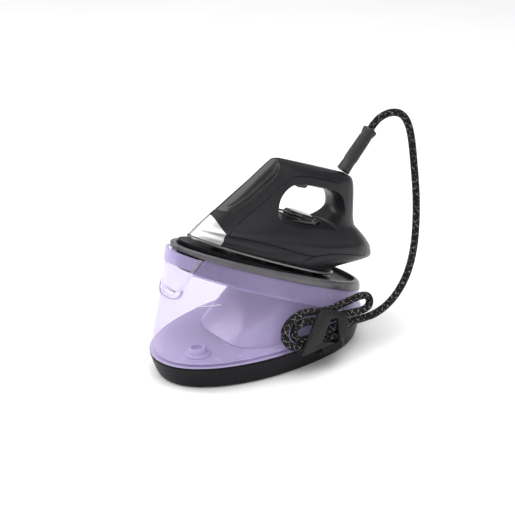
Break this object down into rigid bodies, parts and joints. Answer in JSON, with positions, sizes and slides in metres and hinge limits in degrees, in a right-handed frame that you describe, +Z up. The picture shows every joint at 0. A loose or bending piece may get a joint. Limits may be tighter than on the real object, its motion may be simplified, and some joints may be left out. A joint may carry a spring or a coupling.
{
  "type": "steam generator iron",
  "caption": "Compact steam generator iron with a wrap-round translucent water tank, an iron parked on a slanted rest, and a braided steam cord wound through a side clip",
  "frame": {"origin": "centre of the base tray's flat underside", "axes": "+Z up, the nose of the base and of the iron points to -Y, the cord clip is on +X"},
  "size_m": [0.1994, 0.4016, 0.2846],
  "materials": {
    "base_black": "satin moulded",
    "dark_grey": "satin moulded",
    "charcoal": "satin moulded",
    "gloss_black": "polished",
    "lilac_clear": "translucent, polished",
    "brushed_silver": "brushed",
    "cast_aluminium": "as cast",
    "steel": "brushed",
    "rubber": "matte",
    "white_plastic": "moulded",
    "silicone": "matte",
    "braid": "woven",
    "copper": "bright",
    "board_green": "solder resist"
  },
  "bodies": {
    "base": {"base_tray": "base_black", "boiler_housing": "lilac_clear", "boiler_lower_shell": "steel", "boiler_thermostat": "gloss_black", "boiler_upper_shell": "steel", "control_board": "board_green", "cord_clip": "dark_grey", "delivery_hose": "silicone", "flap_hinge_pin": "steel", "foot_front_left": "rubber", "foot_front_right": "rubber", "foot_rear_left": "rubber", "foot_rear_right": "rubber", "heating_element": "copper", "hose_gland": "rubber", "iron_rest": "base_black", "mains_gland": "rubber", "pump_cradle": "rubber", "rest_pad_front": "silicone", "rest_pad_rear_left": "silicone", "rest_pad_rear_right": "silicone", "rest_ring": "dark_grey", "safety_valve": "copper", "steam_cord": "braid", "steam_solenoid_valve": "gloss_black", "suction_hose": "silicone", "switch_bezel": "gloss_black", "tank_outlet_valve": "white_plastic", "water_pump": "white_plastic", "water_tank": "lilac_clear"},
    "iron": {"iron_body": "charcoal", "soleplate": "brushed_silver", "heating_casting": "cast_aluminium", "nose_trim": "brushed_silver", "front_panel": "gloss_black", "heel_cover": "charcoal", "hose_boot": "rubber", "sole_thermostat": "steel", "steam_switch": "gloss_black", "terminal_block": "white_plastic", "trigger_spring": "steel"},
    "trigger": {"steam_trigger": "gloss_black"},
    "dial": {"temperature_dial": "gloss_black"},
    "flap": {"filler_flap": "lilac_clear"},
    "rocker": {"power_rocker": "gloss_black"}
  },
  "joints": [
    {"name": "iron_lift", "type": "slide", "parent": "base", "child": "iron", "axis": [0, 0.4135, 0.9105], "range_m": [0, 0.08], "deforming": ["steam_cord"]},
    {"name": "steam_trigger_press", "type": "hinge", "parent": "iron", "child": "trigger", "pos_m": [0, 0.0267, 0.2277], "axis": [1, 0, 0], "range_deg": [0, 5], "stiffness_Nm_per_rad": 0.4, "springref_deg": -5.73, "deforming": ["trigger_spring"]},
    {"name": "temperature_dial_turn", "type": "hinge", "parent": "iron", "child": "dial", "pos_m": [0, 0.049, 0.168], "axis": [0, 0.4135, 0.9105], "range_deg": [-120, 150]},
    {"name": "filler_flap_tip", "type": "hinge", "parent": "base", "child": "flap", "pos_m": [0, -0.1555, 0.126], "axis": [1, 0, 0], "range_deg": [0, 30]},
    {"name": "power_rocker_tip", "type": "hinge", "parent": "base", "child": "rocker", "pos_m": [0, 0.1215, 0.016], "axis": [1, 0, 0], "range_deg": [0, 12]}
  ]
}
